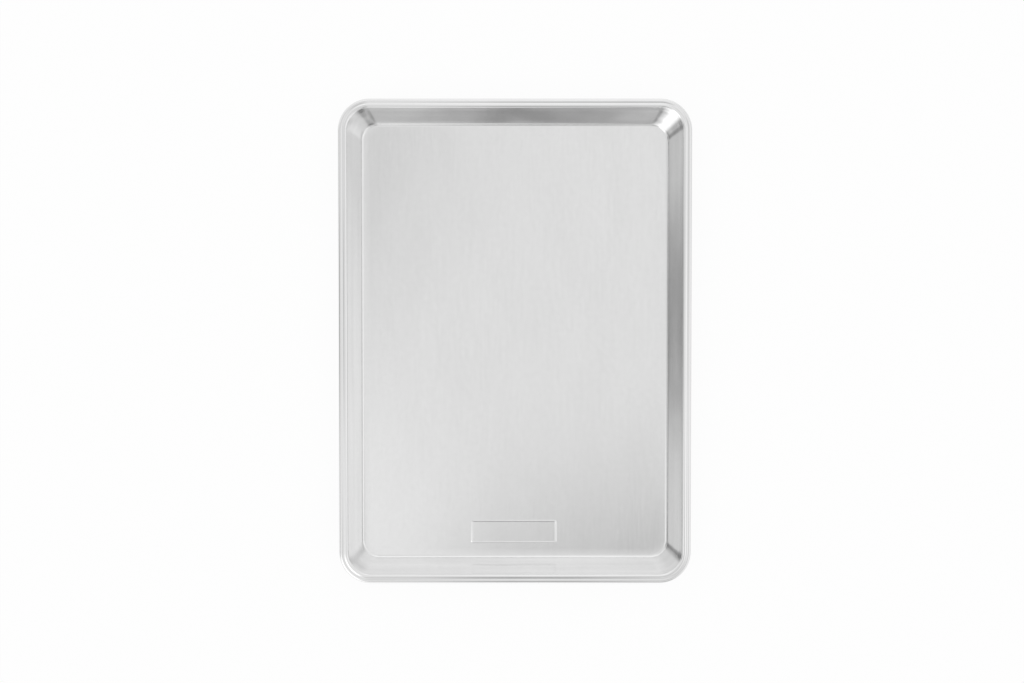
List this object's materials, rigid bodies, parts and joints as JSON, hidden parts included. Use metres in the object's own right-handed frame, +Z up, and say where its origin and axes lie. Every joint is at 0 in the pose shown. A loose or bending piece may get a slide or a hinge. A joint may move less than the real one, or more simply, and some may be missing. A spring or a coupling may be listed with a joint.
{
  "type": "jelly roll pan",
  "caption": "Shallow rectangular rimmed baking pan of pressed aluminium, with rounded corners, outward-leaning walls and a rolled rim that holds a steel wire.",
  "frame": {"origin": "middle of the flat underside", "axes": "+Z up, out of the pan's open side; +Y along the pan, away from the end with the pressed frame; +X across the pan"},
  "size_m": [0.328, 0.45, 0.027],
  "materials": {
    "pan_sheet": "plain rolled aluminium, satin, with a faint lengthwise grain",
    "galvanised_wire": "dull galvanised steel"
  },
  "bodies": {
    "root": {"pan_body": "pan_sheet", "rim_wire": "galvanised_wire"}
  },
  "joints": []
}
